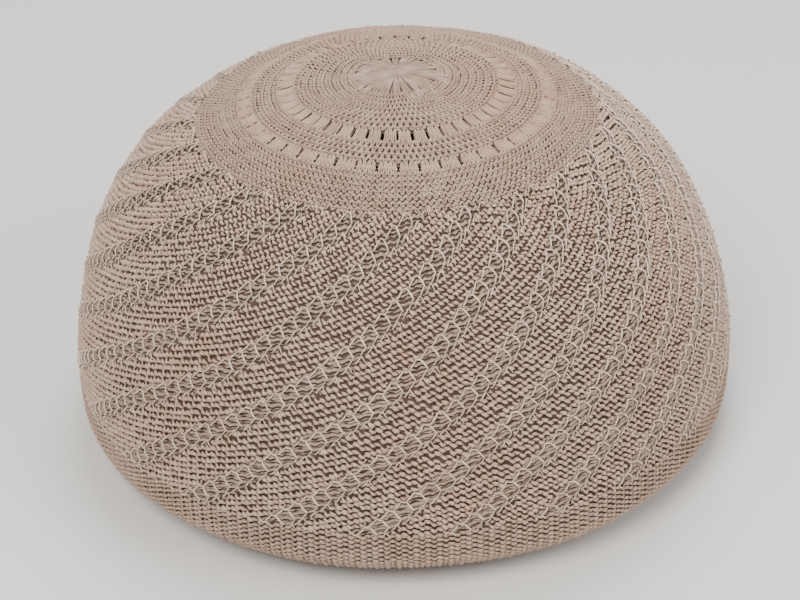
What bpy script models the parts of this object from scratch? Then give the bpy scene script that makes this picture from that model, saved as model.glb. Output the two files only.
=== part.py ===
# Knitted prayer cap: crown, side wall and turned-under hem band, shaped as it stands when filled out.
# Metres, +Z up. The cap's axis is Z, and the hem's flat foot rests at z = 0. The front faces -Y.

import math

import bmesh
import bpy
from mathutils import Vector

# The dome above the widest ring. Both fullness values are exponents: 2 is an ellipse, more is squarer.
WIDEST_RADIUS = 0.0950
DOME_RISE = 0.0868
DOME_SIDE_FULLNESS = 3.07
DOME_TOP_FULLNESS = 2.00
# The crown's centre is drawn up into a low peak where the last stitches are gathered.
PEAK_HEIGHT = 0.0040
PEAK_RADIUS = 0.0665
# Below the widest ring the fabric turns under, to a flat foot that ends at the rim's fold.
TUCK_DEPTH = 0.0199
TUCK_FULLNESS = 2.19
RIM_RADIUS = 0.0705
FOOT_WIDTH = 0.0024

# Widths are measured along the fabric: the crown's from its centre, the hem's from the rim.
CROWN_REACH = 0.0572
HEM_WIDTH = 0.0374
PIECE_GAP = 0.0003
CROWN_WALL = 0.0020
SIDE_WALL = 0.0022
HEM_WALL = 0.0032

# Each sector of the crown has one eyelet of each ring, and every second one a pleat at the centre.
CROWN_SECTORS = 48
PLEAT_DEPTH = 0.0006
EYELET_WIDTH = 0.0009

# Each eyelet ring: its distance from the centre as a share of CROWN_REACH, and its slits' length.
EYELET_RINGS = (
    {"ring": "inner", "distance": 0.532, "length": 0.0042},
    {"ring": "outer", "distance": 0.740, "length": 0.0032},
)

# The crown's own rounds: distance as a share of CROWN_REACH, and the share of PLEAT_DEPTH there.
CROWN_ROUNDS = (
    {"distance": 0.05, "pleat": 0.35},
    {"distance": 0.15, "pleat": 1.00},
    {"distance": 0.27, "pleat": 0.80},
    {"distance": 0.38, "pleat": 0.00},
    {"distance": 0.64, "pleat": 0.00},
    {"distance": 0.95, "pleat": 0.00},
)

# Spiral lattice ribs on the side wall. They lean to the viewer's left from the crown to the hem.
RIB_COUNT = 24
RIB_TURN = math.radians(65.0)
RIB_START = math.radians(-1.2)
RIB_HEIGHT = 0.0008
RIB_FADE = 0.0040
SIDE_ROUNDS = 6

# A rib's cross-section, across one rib pitch: place as a share of the pitch, and share of RIB_HEIGHT.
RIB_SECTION = (
    {"place": 0.00, "height": 0.0},
    {"place": 0.09, "height": 1.0},
    {"place": 0.25, "height": 1.0},
    {"place": 0.36, "height": 0.3},
    {"place": 0.68, "height": 0.0},
)

HEM_ROUNDS = 6
HEM_FACETS = 64
FOLD_SEGMENTS = 3
OUTLINE_STEPS = 240
# Above 1, the outline's steps crowd towards the centre, where the dome's turn changes fastest.
CENTRE_CROWDING = 1.5
MERGE_DISTANCE = 0.00001
SMOOTH_ANGLE = math.radians(50)
YARN_COLOUR = (0.52, 0.42, 0.35, 1.0)
YARN_ROUGHNESS = 0.9


def foot_depth():
    """Depth of the foot below the widest ring."""
    share = (RIM_RADIUS + FOOT_WIDTH) / WIDEST_RADIUS
    return TUCK_DEPTH * (1 - share ** TUCK_FULLNESS) ** (1 / TUCK_FULLNESS)


def dome_point(turn):
    """Outline at a turn of 0 at the centre and a quarter turn at the widest ring, without the peak."""
    radius = WIDEST_RADIUS * math.sin(turn) ** (2 / DOME_SIDE_FULLNESS)
    height = DOME_RISE * max(math.cos(turn), 0.0) ** (2 / DOME_TOP_FULLNESS)
    peak = PEAK_HEIGHT * max(0.0, 1 - radius / PEAK_RADIUS) ** 2
    return Vector((radius, height + peak + foot_depth()))


def tuck_point(radius):
    """Outline below the widest ring, where the fabric turns under."""
    share = radius / WIDEST_RADIUS
    depth = TUCK_DEPTH * max(0.0, 1 - share ** TUCK_FULLNESS) ** (1 / TUCK_FULLNESS)
    return Vector((radius, foot_depth() - depth))


def cap_outline():
    """Half outline of the outer face, as (radius, height), from the centre to the rim."""
    points = []
    for step in range(OUTLINE_STEPS + 1):
        points.append(dome_point(math.pi / 2 * (step / OUTLINE_STEPS) ** CENTRE_CROWDING))
    foot_start = RIM_RADIUS + FOOT_WIDTH
    for step in range(1, OUTLINE_STEPS + 1):
        eased = 1 - math.cos(math.pi / 2 * step / OUTLINE_STEPS)
        points.append(tuck_point(WIDEST_RADIUS + (foot_start - WIDEST_RADIUS) * eased))
    points.append(Vector((RIM_RADIUS, 0.0)))
    return points


class Fabric:
    """The outer face of the cap, measured along the fabric from the crown's centre."""

    def __init__(self):
        self.points = cap_outline()
        self.distances = [0.0]
        for before, after in zip(self.points, self.points[1:]):
            self.distances.append(self.distances[-1] + (after - before).length)
        self.length = self.distances[-1]

    def place(self, distance):
        """Outline point at a distance from the centre, and its outward normal."""
        last = len(self.points) - 1
        index = 1
        while index < last and self.distances[index] < distance:
            index += 1
        start = self.points[index - 1]
        along = self.points[index] - start
        share = (distance - self.distances[index - 1]) / (self.distances[index] - self.distances[index - 1])
        normal = Vector((-along.y, along.x)).normalized()
        return start + along * share, normal

    def point(self, distance, angle, lift=0.0):
        """Point of the cap at a distance from the centre, an angle from the front, and a lift."""
        spot, normal = self.place(distance)
        spot = spot + normal * lift
        return Vector((spot.x * math.sin(angle), -spot.x * math.cos(angle), spot.y))


def yarn_material(name):
    material = bpy.data.materials.new(name)
    material.use_nodes = True
    shader = material.node_tree.nodes["Principled BSDF"]
    shader.inputs["Base Color"].default_value = YARN_COLOUR
    shader.inputs["Roughness"].default_value = YARN_ROUGHNESS
    shader.inputs["Metallic"].default_value = 0.0
    return material


def add_object(name, mesh, collection):
    mesh.materials.append(yarn_material(name + "_yarn"))
    part = bpy.data.objects.new(name, mesh)
    collection.objects.link(part)
    return part


def shell_from_rounds(name, rounds, wall, collection, skipped=(), centre=None):
    """Closed shell from rings of points, each running once round the cap, outermost face given.

    Faces named in skipped, as (round, column), are left open. A centre point closes the first ring.
    """
    shape = bmesh.new()
    rings = [[shape.verts.new(point) for point in ring] for ring in rounds]
    columns = len(rings[0])
    for index in range(len(rings) - 1):
        for column in range(columns):
            if (index, column) in skipped:
                continue
            after = (column + 1) % columns
            upper, lower = rings[index], rings[index + 1]
            shape.faces.new((upper[column], lower[column], lower[after], upper[after]))
    if centre is not None:
        hub = shape.verts.new(centre)
        for column in range(columns):
            shape.faces.new((hub, rings[0][column], rings[0][(column + 1) % columns]))
    mesh = bpy.data.meshes.new(name)
    shape.to_mesh(mesh)
    shape.free()
    mesh.shade_smooth()
    mesh.set_sharp_from_angle(angle=SMOOTH_ANGLE)
    part = add_object(name, mesh, collection)
    solidify = part.modifiers.new("wall", "SOLIDIFY")
    solidify.thickness = wall
    solidify.offset = -1.0
    solidify.use_even_offset = True
    return part


def crown_rows():
    """The crown's rounds from the centre out, with the row on which each eyelet ring starts."""
    edge = CROWN_REACH - PIECE_GAP / 2
    rows = [{"distance": row["distance"] * CROWN_REACH, "pleat": row["pleat"], "eyelet": False}
            for row in CROWN_ROUNDS]
    for ring in EYELET_RINGS:
        middle = ring["distance"] * CROWN_REACH
        rows.append({"distance": middle - ring["length"] / 2, "pleat": 0.0, "eyelet": True})
        rows.append({"distance": middle + ring["length"] / 2, "pleat": 0.0, "eyelet": False})
    rows.append({"distance": edge, "pleat": 0.0, "eyelet": False})
    return sorted(rows, key=lambda row: row["distance"])


def make_crown(fabric, collection):
    sector = 2 * math.pi / CROWN_SECTORS
    first_eyelet = min(row["distance"] for row in crown_rows() if row["eyelet"])
    rounds = []
    skipped = set()
    for index, row in enumerate(crown_rows()):
        slit = sector / 4
        if row["distance"] >= first_eyelet:
            radius = fabric.place(row["distance"])[0].x
            slit = min(slit, EYELET_WIDTH / 2 / radius)
        ring = []
        for number in range(CROWN_SECTORS):
            ridge = 1 if number % 2 else -1
            lift = PLEAT_DEPTH * row["pleat"] * (ridge - 1) / 2
            middle = number * sector
            ring.append(fabric.point(row["distance"], middle - slit, lift))
            ring.append(fabric.point(row["distance"], middle + slit, lift))
            if row["eyelet"]:
                skipped.add((index, 2 * number))
        rounds.append(ring)
    centre = fabric.point(0.0, 0.0)
    return shell_from_rounds("crown", rounds, CROWN_WALL, collection, skipped, centre)


def make_side_wall(fabric, collection):
    start = CROWN_REACH + PIECE_GAP / 2
    end = fabric.length - HEM_WIDTH - PIECE_GAP / 2
    pitch = 2 * math.pi / RIB_COUNT
    ribbed = end - start - 2 * RIB_FADE
    distances = [start + RIB_FADE + ribbed * index / SIDE_ROUNDS for index in range(SIDE_ROUNDS + 1)]
    rounds = []
    for distance in [start] + distances + [end]:
        fade = 0.0 if distance in (start, end) else 1.0
        lean = RIB_START - RIB_TURN * (distance - start) / (end - start)
        ring = []
        for number in range(RIB_COUNT):
            for step in RIB_SECTION:
                angle = lean + (number + step["place"]) * pitch
                ring.append(fabric.point(distance, angle, RIB_HEIGHT * step["height"] * fade))
        rounds.append(ring)
    return shell_from_rounds("side_wall", rounds, SIDE_WALL, collection)


def make_hem_band(fabric, collection):
    """Turned profile: down the outer face, round the rim's fold and back up the inner face."""
    start = fabric.length - HEM_WIDTH + PIECE_GAP / 2
    foot_start = fabric.length - FOOT_WIDTH
    outer = []
    inner = []
    for index in range(HEM_ROUNDS + 1):
        spot, normal = fabric.place(start + (foot_start - start) * index / HEM_ROUNDS)
        outer.append(spot)
        inner.append(spot - normal * HEM_WALL)
    fold_radius = HEM_WALL / 2
    fold = []
    for index in range(FOLD_SEGMENTS + 1):
        turn = math.pi * index / FOLD_SEGMENTS
        fold.append(Vector((RIM_RADIUS - fold_radius * math.sin(turn),
                            fold_radius * (1 - math.cos(turn)))))
    profile = outer + fold + inner[::-1]
    shape = bmesh.new()
    corners = [shape.verts.new((spot.x, 0.0, spot.y)) for spot in profile]
    for index, corner in enumerate(corners):
        shape.edges.new((corner, corners[(index + 1) % len(corners)]))
    mesh = bpy.data.meshes.new("hem_band")
    shape.to_mesh(mesh)
    shape.free()
    band = add_object("hem_band", mesh, collection)
    turned = band.modifiers.new("turned", "SCREW")
    turned.axis = "Z"
    turned.angle = 2 * math.pi
    turned.steps = HEM_FACETS
    turned.render_steps = HEM_FACETS
    turned.use_merge_vertices = True
    turned.merge_threshold = MERGE_DISTANCE
    turned.use_smooth_shade = True
    return band


def main():
    for leftover in list(bpy.data.objects):
        bpy.data.objects.remove(leftover, do_unlink=True)
    collection = bpy.data.collections.new("prayer_cap")
    bpy.context.scene.collection.children.link(collection)
    fabric = Fabric()
    make_crown(fabric, collection)
    make_side_wall(fabric, collection)
    make_hem_band(fabric, collection)


main()
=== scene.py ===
# Knitted prayer cap. Every yarn that shows is modelled, over a backing that closes the fabric.
import math

import bpy
import numpy as np
from mathutils import Matrix, Vector


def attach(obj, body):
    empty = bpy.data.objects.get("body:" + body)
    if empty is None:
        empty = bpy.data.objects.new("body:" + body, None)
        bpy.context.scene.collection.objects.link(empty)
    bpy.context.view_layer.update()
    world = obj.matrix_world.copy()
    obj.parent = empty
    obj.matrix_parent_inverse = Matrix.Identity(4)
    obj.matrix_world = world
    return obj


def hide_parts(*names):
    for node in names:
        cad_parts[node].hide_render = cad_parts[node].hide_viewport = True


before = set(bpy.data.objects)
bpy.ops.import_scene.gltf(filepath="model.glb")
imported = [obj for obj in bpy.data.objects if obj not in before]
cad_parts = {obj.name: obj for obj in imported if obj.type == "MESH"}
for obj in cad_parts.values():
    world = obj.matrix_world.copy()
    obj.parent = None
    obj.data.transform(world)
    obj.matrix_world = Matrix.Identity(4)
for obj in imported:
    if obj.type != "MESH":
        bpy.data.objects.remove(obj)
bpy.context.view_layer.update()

turnAround = 2 * math.pi

# The outline is the same as the CAD model's, in metres.
capShape = {
    "widestRadius": 0.0950,
    "domeRise": 0.0868,
    "sideFullness": 3.07,
    "topFullness": 2.00,
    "peakHeight": 0.0040,
    "peakRadius": 0.0665,
    "tuckDepth": 0.0199,
    "tuckFullness": 2.19,
    "rimRadius": 0.0705,
    "footWidth": 0.0024,
    "crownReach": 0.0572,    # along the fabric, from the crown's centre
    "hemWidth": 0.0374,      # along the fabric, from the rim
    "outlineSteps": 600,
    "topSpacing": 1.5,       # more than 1 puts more of the steps by the crown's centre
}


def makeOutline(shape):
    widest = shape["widestRadius"]
    footStart = shape["rimRadius"] + shape["footWidth"]

    def tuck(radius):
        share = np.clip(radius / widest, 0, 1)
        return shape["tuckDepth"] * (1 - share ** shape["tuckFullness"]) ** (1 / shape["tuckFullness"])

    turn = math.pi / 2 * np.linspace(0, 1, shape["outlineSteps"]) ** shape["topSpacing"]
    domeRadius = widest * np.sin(turn) ** (2 / shape["sideFullness"])
    peak = shape["peakHeight"] * np.clip(1 - domeRadius / shape["peakRadius"], 0, 1) ** 2
    domeHeight = shape["domeRise"] * np.clip(np.cos(turn), 0, 1) ** (2 / shape["topFullness"]) + peak
    eased = 1 - np.cos(math.pi / 2 * np.linspace(0, 1, shape["outlineSteps"])[1:])
    tuckRadius = widest + (footStart - widest) * eased
    radius = np.concatenate([domeRadius, tuckRadius, [shape["rimRadius"]]])
    height = np.concatenate([domeHeight, -tuck(tuckRadius), [-tuck(footStart)]]) + tuck(footStart)
    along = np.concatenate([[0], np.cumsum(np.hypot(np.diff(radius), np.diff(height)))])
    outRadius = -np.gradient(height, along)
    outHeight = np.gradient(radius, along)
    return {"radius": radius, "height": height, "along": along,
            "outRadius": outRadius, "outHeight": outHeight, "length": along[-1]}


outline = makeOutline(capShape)
crownEdge = capShape["crownReach"]
hemTop = outline["length"] - capShape["hemWidth"]
widestHeight = float(outline["height"][np.argmax(outline["radius"])])
print("outline: fabric length", round(outline["length"], 4), "widest ring at", round(widestHeight, 4))


def readOutline(key, distance):
    return np.interp(distance, outline["along"], outline[key])


# The knitting is never quite even: a slow rise and fall of the surface, none at the foot.
unevenness = {"height": 0.0005, "footFade": 0.020, "topFade": 0.020}
swellWaves = (
    {"height": 1.0, "round": 3, "down": 70, "start": 0.6},
    {"height": 0.6, "round": 5, "down": -110, "start": 2.1},
    {"height": 0.5, "round": 8, "down": 160, "start": 4.0},
)


def swell(distance, angle):
    footFade = np.clip((outline["length"] - distance) / unevenness["footFade"], 0, 1)
    topFade = np.clip(distance / unevenness["topFade"], 0, 1)
    risen = sum(wave["height"] * np.sin(wave["round"] * angle + wave["down"] * distance + wave["start"])
                for wave in swellWaves)
    highest = sum(wave["height"] for wave in swellWaves)
    return unevenness["height"] * footFade * topFade * risen / highest


# Spiral lattice bands on the side wall. Their cells step down and to the viewer's left.
lattice = {
    "bands": 24,
    "turn": math.radians(65.0),
    "start": math.radians(1.3),
    "lean": math.radians(4.7),    # more turn over the widest part
    "leanFrom": 0.45,             # of the way down the wall
    "leanOver": 0.45,
    "share": 0.38,                # of the pitch between two bands
    "ribHeight": 0.0005,
    "endFade": 0.004,
}
bandPitch = turnAround / lattice["bands"]
stitchesRound = 192               # the same all the way down the wall and the hem


def bandAngle(distance):
    share = (distance - crownEdge) / (hemTop - crownEdge)
    late = np.clip((share - lattice["leanFrom"]) / lattice["leanOver"], 0, 1)
    return lattice["start"] - lattice["turn"] * share - lattice["lean"] * late * late * (3 - 2 * late)


def bandShare(distance, angle):
    # It is 0 at a band's upper left strand and 1 at the next band's.
    return np.mod((angle - bandAngle(distance)) / bandPitch, 1.0)


def ribLift(distance, angle):
    share = bandShare(distance, angle) / lattice["share"]
    bump = np.where(share < 1, np.sin(np.pi * np.clip(share, 0, 1)), 0)
    topEnd = np.clip((distance - crownEdge) / lattice["endFade"], 0, 1)
    lowEnd = np.clip((hemTop - distance) / lattice["endFade"], 0, 1)
    return lattice["ribHeight"] * bump * topEnd * lowEnd


# The wall was drawn round a little when it was shaped, most of all on one side.
drawn = {"amount": math.radians(5.5), "calm": math.radians(-40.0), "fade": 0.005}


def drawnRound(distance, angle):
    fade = np.clip((distance - crownEdge) / drawn["fade"], 0, 1)
    return angle - drawn["amount"] / 2 * fade * (1 - np.cos(angle - drawn["calm"]))


def onFabric(distance, angle, lift=0.0):
    distance = np.asarray(distance, float)
    lift = lift + swell(distance, angle) + ribLift(distance, angle)
    angle = drawnRound(distance, angle)
    radius = readOutline("radius", distance) + readOutline("outRadius", distance) * lift
    height = readOutline("height", distance) + readOutline("outHeight", distance) * lift
    return np.stack([radius * np.sin(angle), -radius * np.cos(angle), height + 0 * angle], -1)


def outOf(distance, angle):
    across = readOutline("outRadius", distance)
    angle = drawnRound(distance, angle)
    return np.stack([across * np.sin(angle), -across * np.cos(angle),
                     readOutline("outHeight", distance) + 0 * angle], -1)


def upOf(distance, angle):
    # Points along the fabric, towards the crown's centre.
    inwards = readOutline("outHeight", distance)
    angle = drawnRound(distance, angle)
    return np.stack([-inwards * np.sin(angle), inwards * np.cos(angle),
                     readOutline("outRadius", distance) + 0 * angle], -1)


def newMaterial(name):
    material = bpy.data.materials.new(name)
    material.use_nodes = True
    return material, material.node_tree.nodes, material.node_tree.links


# Shared effects: heathered fibre colour, and fine fibre bumps along the yarns.
fibreLook = {"mottleScale": 260.0, "patchScale": 26.0, "fibreScale": 2600.0}


def makeFibreGroup():
    group = bpy.data.node_groups.new("heatheredFibre", "ShaderNodeTree")
    face = group.interface
    for label, value in (("Yarn", (0.5, 0.4, 0.33, 1)), ("Light Fibre", (0.6, 0.5, 0.44, 1)),
                         ("Warm Patch", (0.5, 0.36, 0.28, 1))):
        socket = face.new_socket(label, in_out="INPUT", socket_type="NodeSocketColor")
        socket.default_value = value
    for label, value in (("Light Amount", 0.5), ("Warm Amount", 0.4)):
        socket = face.new_socket(label, in_out="INPUT", socket_type="NodeSocketFloat")
        socket.default_value = value
    face.new_socket("Color", in_out="OUTPUT", socket_type="NodeSocketColor")
    face.new_socket("Roughness", in_out="OUTPUT", socket_type="NodeSocketFloat")
    face.new_socket("Height", in_out="OUTPUT", socket_type="NodeSocketFloat")
    nodes, links = group.nodes, group.links
    given = nodes.new("NodeGroupInput")
    result = nodes.new("NodeGroupOutput")
    place = nodes.new("ShaderNodeTexCoord")

    def noise(scale, detail):
        texture = nodes.new("ShaderNodeTexNoise")
        texture.inputs["Scale"].default_value = scale
        texture.inputs["Detail"].default_value = detail
        links.new(place.outputs["Object"], texture.inputs["Vector"])
        return texture.outputs["Fac"]

    def masked(source, low, high, amount):
        ramp = nodes.new("ShaderNodeMapRange")
        ramp.inputs["From Min"].default_value = low
        ramp.inputs["From Max"].default_value = high
        links.new(source, ramp.inputs["Value"])
        links.new(given.outputs[amount], ramp.inputs["To Max"])
        return ramp.outputs["Result"]

    def blended(factor, below, above):
        mix = nodes.new("ShaderNodeMix")
        mix.data_type = "RGBA"
        links.new(factor, mix.inputs["Factor"])
        links.new(below, mix.inputs[6])
        links.new(above, mix.inputs[7])
        return mix.outputs[2]

    light = masked(noise(fibreLook["mottleScale"], 3), 0.42, 0.68, "Light Amount")
    warm = masked(noise(fibreLook["patchScale"], 2), 0.47, 0.66, "Warm Amount")
    warmed = blended(warm, given.outputs["Yarn"], given.outputs["Warm Patch"])
    links.new(blended(light, warmed, given.outputs["Light Fibre"]), result.inputs["Color"])
    fibre = noise(fibreLook["fibreScale"], 2)
    links.new(fibre, result.inputs["Height"])
    rough = nodes.new("ShaderNodeMapRange")
    rough.inputs["To Min"].default_value = 0.78
    rough.inputs["To Max"].default_value = 0.98
    links.new(fibre, rough.inputs["Value"])
    links.new(rough.outputs["Result"], result.inputs["Roughness"])
    return group


fibreGroup = makeFibreGroup()


def makeYarnMaterial(name, look):
    material, nodes, links = newMaterial(name)
    shader = nodes["Principled BSDF"]
    fibre = nodes.new("ShaderNodeGroup")
    fibre.node_tree = fibreGroup
    fibre.inputs["Yarn"].default_value = (*look["yarn"], 1)
    fibre.inputs["Light Fibre"].default_value = (*look["light"], 1)
    fibre.inputs["Warm Patch"].default_value = (*look["warm"], 1)
    fibre.inputs["Light Amount"].default_value = look["lightAmount"]
    fibre.inputs["Warm Amount"].default_value = look["warmAmount"]
    bump = nodes.new("ShaderNodeBump")
    bump.inputs["Strength"].default_value = look["bump"]
    bump.inputs["Distance"].default_value = 0.0001
    links.new(fibre.outputs["Color"], shader.inputs["Base Color"])
    links.new(fibre.outputs["Roughness"], shader.inputs["Roughness"])
    links.new(fibre.outputs["Height"], bump.inputs["Height"])
    links.new(bump.outputs["Normal"], shader.inputs["Normal"])
    shader.inputs["Specular IOR Level"].default_value = 0.15
    shader.inputs["Sheen Weight"].default_value = look["sheen"]
    shader.inputs["Sheen Roughness"].default_value = 0.5
    return material


yarnLooks = {
    "crownYarn": {"yarn": (0.45, 0.312, 0.24), "light": (0.56, 0.42, 0.34), "warm": (0.45, 0.275, 0.20),
                  "lightAmount": 0.6, "warmAmount": 0.8, "bump": 0.5, "sheen": 0.05},
    # Painted shade: the gathered strands' yarn is darker than the crown yarn, to damp the light they catch
    # facing up.
    "gatherYarn": {"yarn": (0.33, 0.228, 0.177), "light": (0.52, 0.40, 0.335), "warm": (0.35, 0.22, 0.165),
                   "lightAmount": 0.8, "warmAmount": 0.7, "bump": 0.5, "sheen": 0.05},
    "groundYarn": {"yarn": (0.54, 0.388, 0.306), "light": (0.65, 0.50, 0.405), "warm": (0.54, 0.345, 0.26),
                   "lightAmount": 0.6, "warmAmount": 0.6, "bump": 0.5, "sheen": 0.05},
    # Painted shade: the lattice fill's yarn is darker than the ground yarn, for the shade in the sunken
    # lattice cells.
    "fillYarn": {"yarn": (0.39, 0.288, 0.226), "light": (0.50, 0.385, 0.315), "warm": (0.40, 0.268, 0.203),
                 "lightAmount": 0.5, "warmAmount": 0.4, "bump": 0.5, "sheen": 0.05},
    # Painted highlight: the slipped strands' yarn is paler than the ground yarn, for the light caught on
    # these raised strands.
    "paintedHighlightSlipYarn": {"yarn": (0.72, 0.575, 0.475), "light": (0.82, 0.70, 0.60), "warm": (0.68, 0.52, 0.41),
                 "lightAmount": 0.6, "warmAmount": 0.4, "bump": 0.4, "sheen": 0.1},
    "hemYarn": {"yarn": (0.44, 0.315, 0.24), "light": (0.53, 0.40, 0.32), "warm": (0.45, 0.295, 0.21),
                "lightAmount": 0.5, "warmAmount": 0.6, "bump": 0.5, "sheen": 0.05},
    # Painted shade: a near-black yarn colour for the backing's outer side, standing for the shadow seen in
    # the gaps between the yarns.
    "paintedShadeYarn": {"yarn": (0.105, 0.072, 0.055), "light": (0.14, 0.10, 0.08), "warm": (0.11, 0.068, 0.05),
                  "lightAmount": 0.5, "warmAmount": 0.5, "bump": 0.5, "sheen": 0.0},
    "innerYarn": {"yarn": (0.40, 0.29, 0.225), "light": (0.50, 0.385, 0.31), "warm": (0.41, 0.275, 0.205),
                  "lightAmount": 0.5, "warmAmount": 0.5, "bump": 0.6, "sheen": 0.05},
}
yarn = {name: makeYarnMaterial(name, look) for name, look in yarnLooks.items()}
print("materials:", len(yarn))


def wire(tree, value, socket):
    if isinstance(value, bpy.types.NodeSocket):
        tree.links.new(value, socket)
    else:
        socket.default_value = value


def calculate(tree, operation, first, second=0.0):
    node = tree.nodes.new("ShaderNodeMath")
    node.operation = operation
    wire(tree, first, node.inputs[0])
    wire(tree, second, node.inputs[1])
    return node.outputs[0]


def alongVector(tree, vector, amount):
    node = tree.nodes.new("ShaderNodeVectorMath")
    node.operation = "SCALE"
    wire(tree, vector, node.inputs[0])
    wire(tree, amount, node.inputs["Scale"])
    return node.outputs[0]


def addVectors(tree, first, second):
    node = tree.nodes.new("ShaderNodeVectorMath")
    node.operation = "ADD"
    wire(tree, first, node.inputs[0])
    wire(tree, second, node.inputs[1])
    return node.outputs[0]


def storedValue(tree, name, kind):
    node = tree.nodes.new("GeometryNodeInputNamedAttribute")
    node.data_type = kind
    node.inputs["Name"].default_value = name
    return node.outputs["Attribute"]


def makeYarnTree():
    # Guide lines carry where each stitch is. The tree bends them into loops and gives them a thickness.
    tree = bpy.data.node_groups.new("loopedYarn", "GeometryNodeTree")
    face = tree.interface
    face.new_socket("Geometry", in_out="INPUT", socket_type="NodeSocketGeometry")
    for label, value in (("Loop Height", 0.0004), ("Head Breadth", 0.0), ("Loop Slant", 0.0001),
                         ("Loop Depth", 0.0003), ("Loop Width", 0.0), ("Bead Swell", 0.0),
                         ("Yarn Radius", 0.0003)):
        face.new_socket(label, in_out="INPUT", socket_type="NodeSocketFloat").default_value = value
    face.new_socket("Sides", in_out="INPUT", socket_type="NodeSocketInt").default_value = 4
    face.new_socket("Material", in_out="INPUT", socket_type="NodeSocketMaterial")
    face.new_socket("Geometry", in_out="OUTPUT", socket_type="NodeSocketGeometry")
    nodes, links = tree.nodes, tree.links
    given = nodes.new("NodeGroupInput")
    result = nodes.new("NodeGroupOutput")
    beat = calculate(tree, "MULTIPLY", storedValue(tree, "beat", "FLOAT"), turnAround)
    looped = storedValue(tree, "looped", "FLOAT")
    twice = calculate(tree, "MULTIPLY", beat, 2.0)
    twiceAcross = calculate(tree, "COSINE", twice)
    twiceAlong = calculate(tree, "SINE", twice)
    broad = calculate(tree, "MULTIPLY", twiceAcross, given.outputs["Head Breadth"])
    shape = calculate(tree, "SUBTRACT", calculate(tree, "COSINE", beat), broad)
    slant = calculate(tree, "MULTIPLY", twiceAlong, given.outputs["Loop Slant"])
    rise = calculate(tree, "MULTIPLY", shape, given.outputs["Loop Height"])
    rise = calculate(tree, "SUBTRACT", rise, slant)
    depth = calculate(tree, "MULTIPLY", twiceAcross, given.outputs["Loop Depth"])
    lean = calculate(tree, "MULTIPLY", twiceAlong, given.outputs["Loop Width"])
    offset = alongVector(tree, storedValue(tree, "up", "FLOAT_VECTOR"), rise)
    offset = addVectors(tree, offset, alongVector(tree, storedValue(tree, "out", "FLOAT_VECTOR"), depth))
    offset = addVectors(tree, offset, alongVector(tree, storedValue(tree, "side", "FLOAT_VECTOR"), lean))
    move = nodes.new("GeometryNodeSetPosition")
    links.new(given.outputs["Geometry"], move.inputs["Geometry"])
    links.new(alongVector(tree, offset, looped), move.inputs["Offset"])
    lines = nodes.new("GeometryNodeMeshToCurve")
    links.new(move.outputs["Geometry"], lines.inputs["Mesh"])
    ring = nodes.new("GeometryNodeCurvePrimitiveCircle")
    links.new(given.outputs["Sides"], ring.inputs["Resolution"])
    links.new(given.outputs["Yarn Radius"], ring.inputs["Radius"])
    tube = nodes.new("GeometryNodeCurveToMesh")
    tube.inputs["Fill Caps"].default_value = True
    links.new(lines.outputs["Curve"], tube.inputs["Curve"])
    links.new(ring.outputs["Curve"], tube.inputs["Profile Curve"])
    swelling = calculate(tree, "MULTIPLY", twiceAcross, given.outputs["Bead Swell"])
    swollen = calculate(tree, "ADD", swelling, 1.0)
    scale = calculate(tree, "MULTIPLY", swollen, storedValue(tree, "thickness", "FLOAT"))
    links.new(scale, tube.inputs["Scale"])
    smooth = nodes.new("GeometryNodeSetShadeSmooth")
    links.new(tube.outputs["Mesh"], smooth.inputs["Geometry"])
    solid = nodes.new("GeometryNodeRealizeInstances")
    links.new(smooth.outputs["Geometry"], solid.inputs["Geometry"])
    finish = nodes.new("GeometryNodeSetMaterial")
    links.new(solid.outputs["Geometry"], finish.inputs["Geometry"])
    links.new(given.outputs["Material"], finish.inputs["Material"])
    links.new(finish.outputs["Geometry"], result.inputs["Geometry"])
    return tree


yarnTree = makeYarnTree()


class YarnGuides:
    # Collects guide lines, each a run of points along the fabric, for one piece.
    def __init__(self):
        self.parts = {"place": [], "out": [], "up": [], "side": [], "beat": [], "looped": [], "thickness": []}
        self.edges = []
        self.count = 0

    def add(self, distance, angle, beat, lift=0.0, looped=1.0, thickness=1.0, stitch=0.002,
            keep=None, closed=False, across=None):
        distance, angle, beat = np.broadcast_arrays(np.asarray(distance, float), angle, beat)
        total = len(distance)
        out = outOf(distance, angle)
        up = upOf(distance, angle) if across is None else across
        side = np.cross(up, out)
        links = np.stack([np.arange(total), np.roll(np.arange(total), -1)], 1)
        if not closed:
            links = links[:-1]
        kept = np.ones(total, bool) if keep is None else keep
        links = links[kept[links[:, 0]] & kept[links[:, 1]]]
        used = np.unique(links)
        renumber = np.full(total, -1)
        renumber[used] = np.arange(len(used)) + self.count
        self.edges.append(renumber[links])
        self.count += len(used)
        self.parts["place"].append(onFabric(distance, angle, lift)[used])
        self.parts["out"].append(out[used])
        self.parts["up"].append(up[used])
        self.parts["side"].append(side[used] * stitch)
        self.parts["beat"].append(beat[used])
        self.parts["looped"].append(np.broadcast_to(looped, total)[used])
        self.parts["thickness"].append(np.broadcast_to(thickness, total)[used])

    def mesh(self, name):
        parts = {key: np.concatenate(value) for key, value in self.parts.items()}
        guide = bpy.data.meshes.new(name)
        edges = np.concatenate(self.edges)
        guide.vertices.add(self.count)
        guide.vertices.foreach_set("co", parts["place"].ravel())
        guide.edges.add(len(edges))
        guide.edges.foreach_set("vertices", edges.ravel())
        for key in ("out", "up", "side"):
            guide.attributes.new(key, "FLOAT_VECTOR", "POINT").data.foreach_set("vector", parts[key].ravel())
        for key in ("beat", "looped", "thickness"):
            guide.attributes.new(key, "FLOAT", "POINT").data.foreach_set("value", parts[key].ravel())
        guide.update()
        return guide


def addPiece(name, mesh):
    piece = bpy.data.objects.new(name, mesh)
    bpy.context.scene.collection.objects.link(piece)
    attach(piece, "root")
    mesh.calc_loop_triangles()
    print(name, "triangles:", len(mesh.loop_triangles))
    return piece


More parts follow.
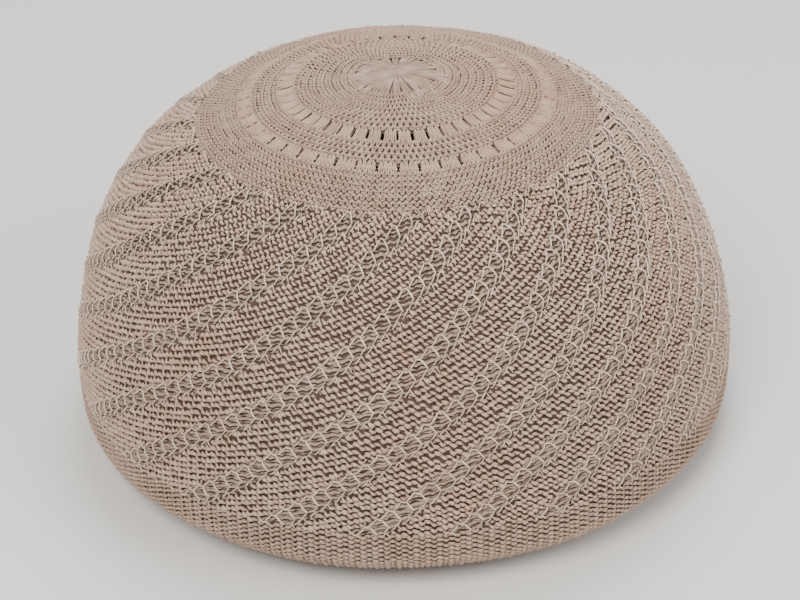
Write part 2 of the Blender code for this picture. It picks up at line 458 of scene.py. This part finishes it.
def spinYarn(name, guides, settings):
    guide = bpy.data.objects.new(name + "Guide", guides.mesh(name + "Guide"))
    bpy.context.scene.collection.objects.link(guide)
    modifier = guide.modifiers.new("yarn", "NODES")
    modifier.node_group = yarnTree
    for socket in yarnTree.interface.items_tree:
        if socket.in_out == "INPUT" and socket.name in settings:
            modifier[socket.identifier] = settings[socket.name]
    ready = guide.evaluated_get(bpy.context.evaluated_depsgraph_get())
    mesh = bpy.data.meshes.new_from_object(ready)
    mesh.name = name
    for layer in list(mesh.attributes):
        if layer.name in ("out", "up", "side", "beat", "looped", "thickness"):
            mesh.attributes.remove(layer)
    bpy.data.objects.remove(guide, do_unlink=True)
    return addPiece(name, mesh)


spread = np.random.default_rng(11)


# The side wall's purl rounds. They fall to the right between two bands and climb back inside a band.
# The rounds are taller by the crown, and a lattice cell is as tall as two of them. A round as tall as
# the full height has loops of their full size.
sideCourses = {"height": 0.00128, "extraHeight": 0.00065, "fullHeight": 0.00134, "easing": 0.0209,
               "slope": 0.19, "settle": 14, "levelSteps": 400}


def makeLevels():
    along = np.linspace(crownEdge, hemTop, sideCourses["levelSteps"])
    easing = np.exp((crownEdge - along) / sideCourses["easing"])
    height = sideCourses["height"] + sideCourses["extraHeight"] * easing
    passed = np.concatenate([[0], np.cumsum(np.diff(along) * 2 / (height[1:] + height[:-1]))])
    count = 2 * round(passed[-1] / 2)
    return count, along, passed * count / passed[-1]


sideCount, levelAlong, levelPassed = makeLevels()
print("side rounds:", sideCount)


def levelOf(course):
    # How far down the fabric a round's upper edge lies, also for the rounds past either end of the wall.
    above = np.minimum(course - levelPassed[0], 0) * sideCourses["height"]
    below = np.maximum(course - levelPassed[-1], 0) * sideCourses["height"]
    return np.interp(course, levelPassed, levelAlong) + above + below


def courseDistance(level, angle):
    radius = readOutline("radius", level)
    ground = 1 - lattice["share"]
    fall = sideCourses["slope"] * bandPitch * radius * ground
    distance = np.full(len(angle), level)
    for _ in range(sideCourses["settle"]):
        share = bandShare(distance, angle)
        climbing = 0.5 - share / lattice["share"]
        falling = (share - lattice["share"]) / ground - 0.5
        distance = level + fall * np.where(share < lattice["share"], climbing, falling)
    return distance


def stitchVariation(stitches, points, amount):
    # Gives one random value a stitch, eased from each to the next.
    values = 1 + amount * spread.uniform(-1, 1, stitches)
    place = np.arange(stitches * points) / points
    return np.interp(place, np.arange(stitches + 1), np.append(values, values[0]))


def strayed(waves, angle, course):
    # How far a round strays along the fabric, in long and short waves round the cap.
    return sum(wave["height"] * np.sin(wave["round"] * angle + wave["step"] * course) for wave in waves)


groundLook = {"lift": -0.00046, "points": 8, "uneven": 0.16, "Loop Height": 0.00046, "Head Breadth": 0.0,
              "Loop Slant": 0.00014, "Loop Depth": 0.00044, "Loop Width": 0.08, "Bead Swell": 0.22,
              "Yarn Radius": 0.00051, "Sides": 3}
fillLook = {"lift": -0.00070, "points": 4, "uneven": 0.2, "Loop Height": 0.00020, "Head Breadth": 0.0,
            "Loop Slant": 0.00006, "Loop Depth": 0.00008, "Loop Width": 0.0, "Bead Swell": 0.1,
            "Yarn Radius": 0.00055, "Sides": 3}
# How far a round's stitches stray along the fabric, in metres, and round it, in stitches, and how far
# past the wall's ends they are kept. Rounds on a radius under the full one have thinner yarn.
sideUneven = {"along": 0.0006, "round": 0.7, "pastEnds": 0.0004, "fullRadius": 0.085, "thinnest": 0.8}
sideWaves = ({"height": 0.00010, "round": 37, "step": 1.7}, {"height": 0.00006, "round": 91, "step": 2.9})
# Where a lattice cell's lower round is drawn thin, as shares of the band's width, and how wide and thin.
fillHoles = {"places": (0.36, 0.66, 0.84), "width": 0.075, "thinnest": 0.08}


def drawnThin(course, share):
    if course % 2 == 0:
        return 1.0
    thin = 1.0
    for place in fillHoles["places"]:
        near = np.exp(-((share / lattice["share"] - place) / fillHoles["width"]) ** 2)
        thin = thin - near
    return np.maximum(thin, fillHoles["thinnest"])


def makeSideRounds(name, look, material, courses, inBand):
    guides = YarnGuides()
    steps = stitchesRound * look["points"]
    angle = np.arange(steps) * turnAround / steps

    def varied():
        return stitchVariation(stitchesRound, look["points"], look["uneven"])

    for course in courses:
        level = float(levelOf(course + 0.5))
        tall = (levelOf(course + 1.0) - levelOf(course)) / sideCourses["fullHeight"]
        distance = courseDistance(level, angle)
        share = bandShare(distance, angle)
        inside = share < lattice["share"]
        keep = (distance > crownEdge - sideUneven["pastEnds"]) & (distance < hemTop + sideUneven["pastEnds"])
        keep = keep & (inside == inBand)
        if not inBand:
            keep = keep | np.roll(keep, 1)
        wander = strayed(sideWaves, angle, course) + sideUneven["along"] * (varied() - 1)
        nudge = sideUneven["round"] * (varied() - 1) * turnAround / stitchesRound
        squeeze = np.clip(readOutline("radius", level) / sideUneven["fullRadius"], sideUneven["thinnest"], 1)
        if inBand:
            squeeze = squeeze * drawnThin(course, share)
        guides.add(distance + wander, angle + nudge, np.arange(steps) / look["points"], lift=look["lift"],
                   looped=tall * varied(), thickness=squeeze * tall ** 0.5 * varied(),
                   stitch=turnAround * readOutline("radius", level) / stitchesRound, keep=keep, closed=True)
    spinYarn(name, guides, {**look, "Material": material})


def makeSideGround():
    half = sideCount // 2
    makeSideRounds("sideKnitUpper", groundLook, yarn["groundYarn"], range(-1, half), False)
    makeSideRounds("sideKnitLower", groundLook, yarn["groundYarn"], range(half, sideCount + 1), False)
    makeSideRounds("latticeFill", fillLook, yarn["fillYarn"], range(-1, sideCount + 1), True)


plainStrand = {"Loop Height": 0.0, "Head Breadth": 0.0, "Loop Slant": 0.0, "Loop Depth": 0.0,
               "Loop Width": 0.0, "Bead Swell": 0.0}
# Slipped stitches lie over each band, their yarn painted paler than the ground yarn as a highlight on these
# raised strands.
slipLook = {"points": 4, "cellHeight": 0.0026, "low": -0.00008, "high": 0.00030, "endThickness": 0.7,
            "pastTop": 0.0006, "pastHem": 0.0008, "Yarn Radius": 0.00024, "Sides": 3}
slipUneven = {"across": 0.00018, "down": 0.00012, "bow": 0.0001, "thickness": 0.2}
# Each strand starts at a distance down and right of the cell's top and ends at another, in metres.
slipStrands = {
    "left roof": {"right": 0.0002, "down": 0.0, "toRight": -0.0019, "toDown": 0.0024, "thick": 1.0},
    "right roof": {"right": 0.0016, "down": 0.0, "toRight": 0.0036, "toDown": 0.0023, "thick": 1.0},
    "top": {"right": 0.0001, "down": -0.0001, "toRight": 0.0017, "toDown": 0.0001, "thick": 0.75},
    "lower right": {"right": 0.0034, "down": 0.0022, "toRight": 0.0019, "toDown": 0.0042, "thick": 0.7},
    "second roof": {"right": 0.0056, "down": 0.0016, "toRight": 0.0040, "toDown": 0.0036, "thick": 0.75},
    "second drop": {"right": 0.0057, "down": 0.0016, "toRight": 0.0070, "toDown": 0.0034, "thick": 0.6},
}


def makeLattice():
    guides = YarnGuides()
    share = np.linspace(0, 1, slipLook["points"])
    for band in range(lattice["bands"]):
        for cell in range(-1, sideCount // 2 + 1):
            top = float(levelOf(2 * cell))
            stretch = float(levelOf(2 * cell + 2) - top) / slipLook["cellHeight"]
            radius = readOutline("radius", max(top, crownEdge))
            narrowed = radius / capShape["widestRadius"]
            for strand in slipStrands.values():
                across = strand["right"] + (strand["toRight"] - strand["right"]) * share
                down = (strand["down"] + (strand["toDown"] - strand["down"]) * share) * stretch
                across = across + slipUneven["across"] * spread.uniform(-1, 1)
                across = across + slipUneven["bow"] * np.sin(np.pi * share)
                angle = bandAngle(top) + band * bandPitch + across * narrowed / radius
                distance = top + down + slipUneven["down"] * spread.uniform(-1, 1)
                keep = distance > crownEdge - slipLook["pastTop"]
                keep = keep & (distance < hemTop + slipLook["pastHem"])
                arch = np.sin(np.pi * share) ** 0.5
                lift = slipLook["low"] + (slipLook["high"] - slipLook["low"]) * arch
                thick = strand["thick"] * (slipLook["endThickness"] + (1 - slipLook["endThickness"]) * arch)
                thick = thick * (1 + slipUneven["thickness"] * spread.uniform(-1, 1))
                guides.add(distance, angle, 0.0, lift=lift, looped=0.0, keep=keep, thickness=thick)
    spinYarn("latticeStrands", guides, {**plainStrand, **slipLook, "Material": yarn["paintedHighlightSlipYarn"]})


# The crown's rounds of loops. A wavy ridge runs along their heads, so that each stitch has a pinhole.
crownLook = {"lift": -0.00058, "points": 8, "fullHeight": 0.00190, "fullWidth": 0.0015,
             "Loop Height": 0.00064, "Head Breadth": 0.22, "Loop Slant": 0.0, "Loop Depth": 0.00024,
             "Loop Width": 0.03, "Bead Swell": 0.05, "Yarn Radius": 0.00040, "Sides": 3}
ridgeLook = {"above": 0.00050, "lift": -0.00050, "wave": 0.00024, "points": 4, "thickness": 0.84,
             "swell": 0.14, "uneven": 0.25}
# Each zone of rounds: where it starts and ends, how many rounds, stitches in a round, the part of a
# stitch by which each round is shifted from the last, and how far every second round is closed up.
crownZones = (
    {"from": 0.0112, "to": 0.0283, "rounds": 8, "stitches": 96, "shift": 0.5, "closed": 0.1},
    {"from": 0.0324, "to": 0.0407, "rounds": 4, "stitches": 144, "shift": 0.5, "closed": 0.0},
    {"from": 0.0438, "to": 0.0571, "rounds": 7, "stitches": 192, "shift": 0.0, "closed": 0.0},
)
crownUneven = {"loops": 0.16, "thickness": 0.16, "along": 0.00011, "round": 0.12}
crownWaves = ({"height": 0.00008, "round": 29, "step": 1.3}, {"height": 0.00006, "round": 83, "step": 1.0})
ridgeWaves = ({"height": 0.00006, "round": 83, "step": 0.0},)


def makeCrownRounds():
    guides = YarnGuides()
    points = crownLook["points"]
    for zone in crownZones:
        stitches = zone["stitches"]
        pitch = (zone["to"] - zone["from"]) / zone["rounds"]
        tall = pitch / crownLook["fullHeight"]
        beat = np.arange(stitches * points) / points
        ridgeBeat = np.arange(stitches * ridgeLook["points"]) / ridgeLook["points"]
        wave = np.cos(turnAround * ridgeBeat)
        for course in range(zone["rounds"]):
            level = zone["from"] + (course + 0.5) * pitch
            angle = (beat + course * zone["shift"]) / stitches * turnAround
            width = turnAround * readOutline("radius", level) / stitches
            wander = strayed(crownWaves, angle, course)
            wander = wander + crownUneven["along"] * (stitchVariation(stitches, points, 1.0) - 1)
            nudge = crownUneven["round"] * (stitchVariation(stitches, points, 1.0) - 1)
            angle = angle + nudge * turnAround / stitches
            closing = 1 + zone["closed"] * (course % 2 == 0)
            scale = tall ** 0.5 * min(1, width / crownLook["fullWidth"])
            looped = tall * stitchVariation(stitches, points, crownUneven["loops"])
            thickness = scale * closing * stitchVariation(stitches, points, crownUneven["thickness"])
            guides.add(level + wander, angle, beat, closed=True, stitch=width, lift=crownLook["lift"],
                       looped=looped, thickness=thickness)
            turn = (ridgeBeat + course * zone["shift"]) / stitches * turnAround
            ridgeLevel = level - ridgeLook["above"] * tall - ridgeLook["wave"] * wave
            ridgeLevel = ridgeLevel + strayed(ridgeWaves, turn, course)
            thickness = ridgeLook["thickness"] * scale * closing ** 0.5 * (1 + ridgeLook["swell"] * wave)
            thickness = thickness * stitchVariation(stitches, ridgeLook["points"], ridgeLook["uneven"])
            guides.add(ridgeLevel, turn, 0.0, closed=True, looped=0.0,
                       lift=ridgeLook["lift"] + ridgeLook["wave"] * wave, thickness=thickness)
    spinYarn("crownKnit", guides, {**crownLook, "Material": yarn["crownYarn"]})


# The two eyelet rounds are parted by slits, some drawn nearly shut. The inner one is a round of tall
# loops, the outer one two short rounds that stop at each slit.
eyeletRings = {
    "inner": {"from": 0.0283, "to": 0.0325, "stitches": 3, "courses": 1, "thickness": 1.18},
    "outer": {"from": 0.0407, "to": 0.0439, "stitches": 4, "courses": 2, "thickness": 1.3},
}
slits = {"count": 48, "width": 0.0009, "narrowest": 0.4, "broadest": 1.2}
tallLook = {"lift": -0.00045, "points": 8, "Loop Height": 0.0023, "Head Breadth": 0.0, "Loop Slant": 0.0,
            "Loop Depth": 0.00016, "Loop Width": 0.07, "Bead Swell": 0.1, "Yarn Radius": 0.00029, "Sides": 4}
# The yarn dives at a slit over part of a stitch. Each run of it is bowed, and it has its own thickness.
eyeletRuns = {"diveOver": 0.4, "dive": 0.0005, "overlap": 0.0007, "bow": 0.00012, "uneven": 0.14,
              "ripple": 0.1, "rippleTurns": 9}


def makeEyelets():
    guides = YarnGuides()
    sector = turnAround / slits["count"]
    for ring in eyeletRings.values():
        edges = slits["width"] / 2 * spread.uniform(slits["narrowest"], slits["broadest"], slits["count"])
        pitch = (ring["to"] - ring["from"]) / ring["courses"]
        steps = ring["stitches"] * tallLook["points"]
        share = np.arange(steps + 1) / steps
        fromEnd = np.minimum(share, 1 - share) * ring["stitches"]
        dive = np.clip(1 - fromEnd / eyeletRuns["diveOver"], 0, 1) ** 2
        for course in range(ring["courses"]):
            middle = ring["from"] + (course + 0.5) * pitch
            radius = float(readOutline("radius", middle))
            for number in range(slits["count"]):
                start = number * sector + edges[number] / radius
                end = (number + 1) * sector - edges[(number + 1) % slits["count"]] / radius
                bow = eyeletRuns["bow"] * np.sin(np.pi * share) * spread.uniform(-1, 1)
                thick = 1 + eyeletRuns["uneven"] * spread.uniform(-1, 1)
                thick = thick + eyeletRuns["ripple"] * np.sin(share * eyeletRuns["rippleTurns"] + number)
                guides.add(middle + bow, start + (end - start) * share, 0.5 + share * ring["stitches"],
                           stitch=sector * radius / ring["stitches"],
                           lift=tallLook["lift"] - eyeletRuns["dive"] * dive,
                           looped=(pitch + eyeletRuns["overlap"]) / 2 / tallLook["Loop Height"],
                           thickness=ring["thickness"] * thick)
    spinYarn("eyeletLoops", guides, {**tallLook, "Material": yarn["crownYarn"]})


# At the crown's centre strands are drawn together over soft pleats. Their ends dive into the first rounds.
gather = {"strands": 48, "reach": 0.0145, "shortest": 0.82, "longest": 1.12, "points": 15,
          "lift": -0.00022, "dive": 0.0008, "diveFrom": 0.72}
gatherStrand = {"thinnest": 0.00013, "thickest": 0.00046, "narrower": 0.8, "broader": 1.1, "taper": 0.45,
                "stray": 0.16, "bend": 0.10, "bendTurns": 4, "bendStep": 2.1}
gatherYarn = {"Yarn Radius": 0.0005, "Sides": 6}
# Each layer of strands, the upper one first. Its breadth is a part of the space from strand to strand.
gatherLayers = (
    {"reach": 1.0, "shift": 0.0, "breadth": 0.44, "thickest": 1.0, "below": 0.0},
    {"reach": 0.88, "shift": 0.5, "breadth": 0.30, "thickest": 0.7, "below": 0.00022},
)
pleats = {"count": 24, "depth": 0.0007, "innerFade": 0.004, "reach": 0.0175, "outerFade": 0.006}


def pleatLift(distance, angle):
    fade = np.clip(distance / pleats["innerFade"], 0, 1)
    fade = fade * np.clip((pleats["reach"] - distance) / pleats["outerFade"], 0, 1)
    return pleats["depth"] * fade * (np.cos(pleats["count"] * angle) - 1) / 2


def makeGather():
    guides = YarnGuides()
    share = np.linspace(0, 1, gather["points"])
    spacing = turnAround / gather["strands"]
    dive = gather["dive"] * np.clip((share - gather["diveFrom"]) / (1 - gather["diveFrom"]), 0, 1) ** 2
    for number, layer in enumerate(gatherLayers):
        for strand in range(gather["strands"]):
            reach = gather["reach"] * spread.uniform(gather["shortest"], gather["longest"]) * layer["reach"]
            distance = reach * share
            turns = gatherStrand["bendTurns"] * share + gatherStrand["bendStep"] * strand + number
            stray = gatherStrand["stray"] * spread.uniform(-1, 1) + gatherStrand["bend"] * np.sin(turns)
            angle = (strand + 0.5 + layer["shift"] + stray) * spacing
            broad = np.minimum(layer["breadth"] * spacing * distance,
                               gatherStrand["thickest"] * layer["thickest"])
            broad = broad * spread.uniform(gatherStrand["narrower"], gatherStrand["broader"])
            broad = (broad + gatherStrand["thinnest"]) * (1 - gatherStrand["taper"] * share ** 3)
            lift = pleatLift(distance, angle) + gather["lift"] - dive - layer["below"]
            thickness = broad / gatherYarn["Yarn Radius"]
            guides.add(distance, angle, 0.0, lift=lift, looped=0.0, thickness=thickness)
    spinYarn("crownGather", guides,
             {**plainStrand, **gatherYarn, "Material": yarn["gatherYarn"]})


# The hem's level purl rounds. Those turned under towards the foot are simpler, and sink by the foot.
hemLook = {"lift": -0.00045, "Loop Height": 0.00037, "Head Breadth": 0.0, "Loop Slant": 0.00004,
           "Loop Depth": 0.00036, "Loop Width": 0.07, "Bead Swell": 0.10, "Yarn Radius": 0.00050,
           "Sides": 3}
hemCourses = {"count": 24, "firstUnder": 13, "uneven": 0.12, "sink": 0.0005, "sinkFrom": 0.012}
hemWaves = ({"height": 0.00010, "round": 31, "step": 1.9}, {"height": 0.00006, "round": 87, "step": 1.0})


def makeHem(name, courses, points):
    guides = YarnGuides()
    pitch = (capShape["hemWidth"] - capShape["footWidth"] / 2) / hemCourses["count"]
    steps = stitchesRound * points
    angle = np.arange(steps) * turnAround / steps
    for course in courses:
        level = hemTop + (course + 0.5) * pitch
        nearFoot = np.clip((outline["length"] - level) / hemCourses["sinkFrom"], 0, 1)
        guides.add(level + strayed(hemWaves, angle, course), angle, np.arange(steps) / points, closed=True,
                   stitch=turnAround * readOutline("radius", level) / stitchesRound,
                   lift=hemLook["lift"] - hemCourses["sink"] * (1 - nearFoot),
                   looped=stitchVariation(stitchesRound, points, hemCourses["uneven"]),
                   thickness=stitchVariation(stitchesRound, points, hemCourses["uneven"]))
    spinYarn(name, guides, {**hemLook, "Material": yarn["hemYarn"]})


# The inside shows the smooth face of the knitting: columns of V-shaped stitches.
innerStitch = {"pitch": 0.0018, "legSlope": 1.2, "relief": 0.0005}


def addInnerStitches(material):
    tree = material.node_tree
    place = tree.nodes.new("ShaderNodeTexCoord")
    apart = tree.nodes.new("ShaderNodeSeparateXYZ")
    tree.links.new(place.outputs["Object"], apart.inputs["Vector"])
    along = tree.nodes.new("ShaderNodeAttribute")
    along.attribute_name = "along"
    turned = calculate(tree, "ARCTAN2", apart.outputs["X"], apart.outputs["Y"])
    column = calculate(tree, "FRACT", calculate(tree, "MULTIPLY", turned, stitchesRound / turnAround))
    across = calculate(tree, "ABSOLUTE", calculate(tree, "SUBTRACT", column, 0.5))
    row = calculate(tree, "DIVIDE", along.outputs["Fac"], innerStitch["pitch"])
    row = calculate(tree, "ADD", row, calculate(tree, "MULTIPLY", across, innerStitch["legSlope"]))
    leg = calculate(tree, "SINE", calculate(tree, "MULTIPLY", row, turnAround))
    groove = calculate(tree, "SINE", calculate(tree, "MULTIPLY", across, turnAround))
    bump = tree.nodes.new("ShaderNodeBump")
    bump.inputs["Distance"].default_value = innerStitch["relief"]
    tree.links.new(calculate(tree, "ADD", leg, groove), bump.inputs["Height"])
    fibreBump = next(node for node in tree.nodes if node.type == "BUMP" and node != bump)
    tree.links.new(bump.outputs["Normal"], fibreBump.inputs["Normal"])


addInnerStitches(yarn["innerYarn"])

# The body of the fabric lies behind the yarns. Its outer side is painted shade, coloured near black to stand
# for the shadow in the gaps between the yarns, and it has stitches on its inner.
backing = {"sink": 0.00095, "thickness": 0.0011, "hemThickness": 0.0022, "seam": 0.0001,
           "hubRadius": 0.0012, "crownRows": 28, "slitMargin": 0.0006, "sideRows": 44, "sideColumns": 96,
           "hemRows": 26, "hemColumns": 192}


def sheetMesh(name, distances, angles, lift, skipped=None, hub=False):
    grid = np.stack([onFabric(distance, angle, lift(distance, angle))
                     for distance, angle in zip(distances, angles)])
    rows, columns = grid.shape[:2]
    number = np.arange(rows * columns).reshape(rows, columns)
    after = np.roll(number, -1, 1)
    faces = np.stack([number[:-1], number[1:], after[1:], after[:-1]], -1).reshape(-1, 4)
    if skipped is not None:
        faces = faces[~skipped.reshape(-1)]
    faces = faces.tolist()
    points = grid.reshape(-1, 3).tolist()
    if hub:
        points.append(onFabric(0.0, 0.0, lift(np.array(0.0), np.array(0.0))).tolist())
        faces += [[len(points) - 1, number[0][column], after[0][column]] for column in range(columns)]
    mesh = bpy.data.meshes.new(name)
    mesh.from_pydata(points, [], faces)
    mesh.shade_smooth()
    along = np.zeros(len(points))
    along[:rows * columns] = np.repeat(np.asarray(distances, float), columns)
    mesh.attributes.new("along", "FLOAT", "POINT").data.foreach_set("value", along)
    return mesh


def makeBacking(name, node, mesh, thickness):
    source = bpy.data.objects.new(name + "Sheet", mesh)
    bpy.context.scene.collection.objects.link(source)
    # The outer side takes the painted shade colour, the inner side and rims the inner knit colour.
    mesh.materials.append(yarn["paintedShadeYarn"])
    mesh.materials.append(yarn["innerYarn"])
    wall = source.modifiers.new("wall", "SOLIDIFY")
    wall.thickness = thickness
    wall.offset = -1
    wall.use_even_offset = True
    wall.material_offset = 1
    wall.material_offset_rim = 1
    ready = source.evaluated_get(bpy.context.evaluated_depsgraph_get())
    solid = bpy.data.meshes.new_from_object(ready)
    solid.name = name
    bpy.data.objects.remove(source, do_unlink=True)
    piece = addPiece(name, solid)
    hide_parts(node)
    return piece


def makeCrownBacking():
    margin = backing["slitMargin"]
    evenly = np.linspace(backing["hubRadius"], crownEdge - 2 * backing["seam"], backing["crownRows"])
    distances = set(np.round(evenly, 6))
    for ring in eyeletRings.values():
        distances = {value for value in distances if not ring["from"] - margin < value < ring["to"] + margin}
        distances |= {ring["from"], ring["to"]}
    distances = np.array(sorted(distances))
    sector = turnAround / slits["count"]
    angles = []
    for distance in distances:
        slit = min(sector / 5, slits["width"] / 2 / readOutline("radius", distance))
        between = sector - 2 * slit
        within = np.array([-slit, slit, slit + between / 3, slit + between * 2 / 3])
        angles.append((np.arange(slits["count"])[:, None] * sector + within).ravel())
    skipped = np.zeros((len(distances) - 1, slits["count"] * 4), bool)
    for ring in eyeletRings.values():
        row = int(np.argmin(np.abs(distances - ring["from"])))
        skipped[row, ::4] = True

    def lift(distance, angle):
        return pleatLift(distance, angle) - backing["sink"]

    mesh = sheetMesh("crownBacking", distances, angles, lift, skipped, hub=True)
    makeBacking("crownBacking", "crown", mesh, backing["thickness"])


def makeSideBacking():
    distances = np.linspace(crownEdge + backing["seam"], hemTop - backing["seam"], backing["sideRows"])
    around = np.arange(backing["sideColumns"]) * turnAround / backing["sideColumns"]
    angles = [around + bandAngle(distance) for distance in distances]
    mesh = sheetMesh("sideBacking", distances, angles, lambda distance, angle: -backing["sink"])
    makeBacking("sideBacking", "side_wall", mesh, backing["thickness"])


def makeHemBacking():
    distances = np.linspace(hemTop + backing["seam"], outline["length"], backing["hemRows"])
    around = np.arange(backing["hemColumns"]) * turnAround / backing["hemColumns"]
    mesh = sheetMesh("hemBacking", distances, [around] * backing["hemRows"],
                     lambda distance, angle: -backing["sink"])
    makeBacking("hemBacking", "hem_band", mesh, backing["hemThickness"])


makeCrownBacking()
makeSideBacking()
makeHemBacking()
print("backings done")
makeSideGround()
makeLattice()
makeCrownRounds()
makeEyelets()
makeGather()
makeHem("hemKnit", range(hemCourses["firstUnder"]), 8)
makeHem("hemKnitUnder", range(hemCourses["firstUnder"], hemCourses["count"]), 4)
print("knitting done")


# Floor, lights and camera.
studio = {"floorSize": 4.0, "floorColour": (0.80, 0.79, 0.77), "worldColour": (1.0, 0.985, 0.97),
          "worldStrength": 0.45, "aimAboveRing": 0.03}
lamps = {
    "keyLamp": {"place": (-0.35, -0.75, 1.05), "size": 0.7, "power": 16.0, "colour": (1.0, 0.97, 0.93)},
    "fillLamp": {"place": (0.95, -0.55, 0.75), "size": 0.8, "power": 8.0, "colour": (1.0, 0.98, 0.96)},
    "topLamp": {"place": (0.10, 0.45, 1.10), "size": 0.6, "power": 8.0, "colour": (1.0, 0.99, 0.97)},
}


def makeStage():
    mesh = bpy.data.meshes.new("floor")
    half = studio["floorSize"] / 2
    corners = [(-half, -half, 0), (half, -half, 0), (half, half, 0), (-half, half, 0)]
    mesh.from_pydata(corners, [], [(0, 1, 2, 3)])
    floor = bpy.data.objects.new("floor", mesh)
    bpy.context.scene.collection.objects.link(floor)
    material, nodes, links = newMaterial("floorPaper")
    shader = nodes["Principled BSDF"]
    shader.inputs["Base Color"].default_value = (*studio["floorColour"], 1)
    shader.inputs["Roughness"].default_value = 0.9
    mesh.materials.append(material)
    world = bpy.data.worlds.new("studioWorld")
    bpy.context.scene.world = world
    world.use_nodes = True
    sky = world.node_tree.nodes["Background"]
    sky.inputs["Color"].default_value = (*studio["worldColour"], 1)
    sky.inputs["Strength"].default_value = studio["worldStrength"]
    aim = Vector((0, 0, widestHeight + studio["aimAboveRing"]))
    for name, lamp in lamps.items():
        light = bpy.data.lights.new(name, "AREA")
        light.shape = "DISK"
        light.size = lamp["size"]
        light.energy = lamp["power"]
        light.color = lamp["colour"]
        holder = bpy.data.objects.new(name, light)
        holder.location = lamp["place"]
        holder.rotation_euler = (aim - Vector(lamp["place"])).to_track_quat("-Z", "Y").to_euler()
        bpy.context.scene.collection.objects.link(holder)


# The photograph's view: where the middle of the widest ring falls in its 800 by 600 frame.
view = {"elevation": math.radians(34.53), "distance": 0.5225, "roll": math.radians(-1.6),
        "focalPixels": 1750.5, "ringMiddle": (403.4, 347.0), "frame": (800, 600), "sensor": 36.0}


def makeCamera():
    ahead = Vector((0, math.cos(view["elevation"]), -math.sin(view["elevation"])))
    up = Vector((0, math.sin(view["elevation"]), math.cos(view["elevation"])))
    right = Vector((1, 0, 0))
    rolledRight = right * math.cos(view["roll"]) + up * math.sin(view["roll"])
    rolledUp = up * math.cos(view["roll"]) - right * math.sin(view["roll"])
    width, height = view["frame"]
    data = bpy.data.cameras.new("photoCamera")
    data.sensor_width = view["sensor"]
    data.lens = view["focalPixels"] / width * view["sensor"]
    data.shift_x = (width / 2 - view["ringMiddle"][0]) / width
    data.shift_y = (view["ringMiddle"][1] - height / 2) / width
    data.clip_start = 0.01
    camera = bpy.data.objects.new("photoCamera", data)
    place = Vector((0, 0, widestHeight)) - ahead * view["distance"]
    turned = Matrix((rolledRight, rolledUp, -ahead)).transposed().to_4x4()
    camera.matrix_world = Matrix.Translation(place) @ turned
    bpy.context.scene.collection.objects.link(camera)
    bpy.context.scene.camera = camera


makeStage()
makeCamera()
print("stage done")
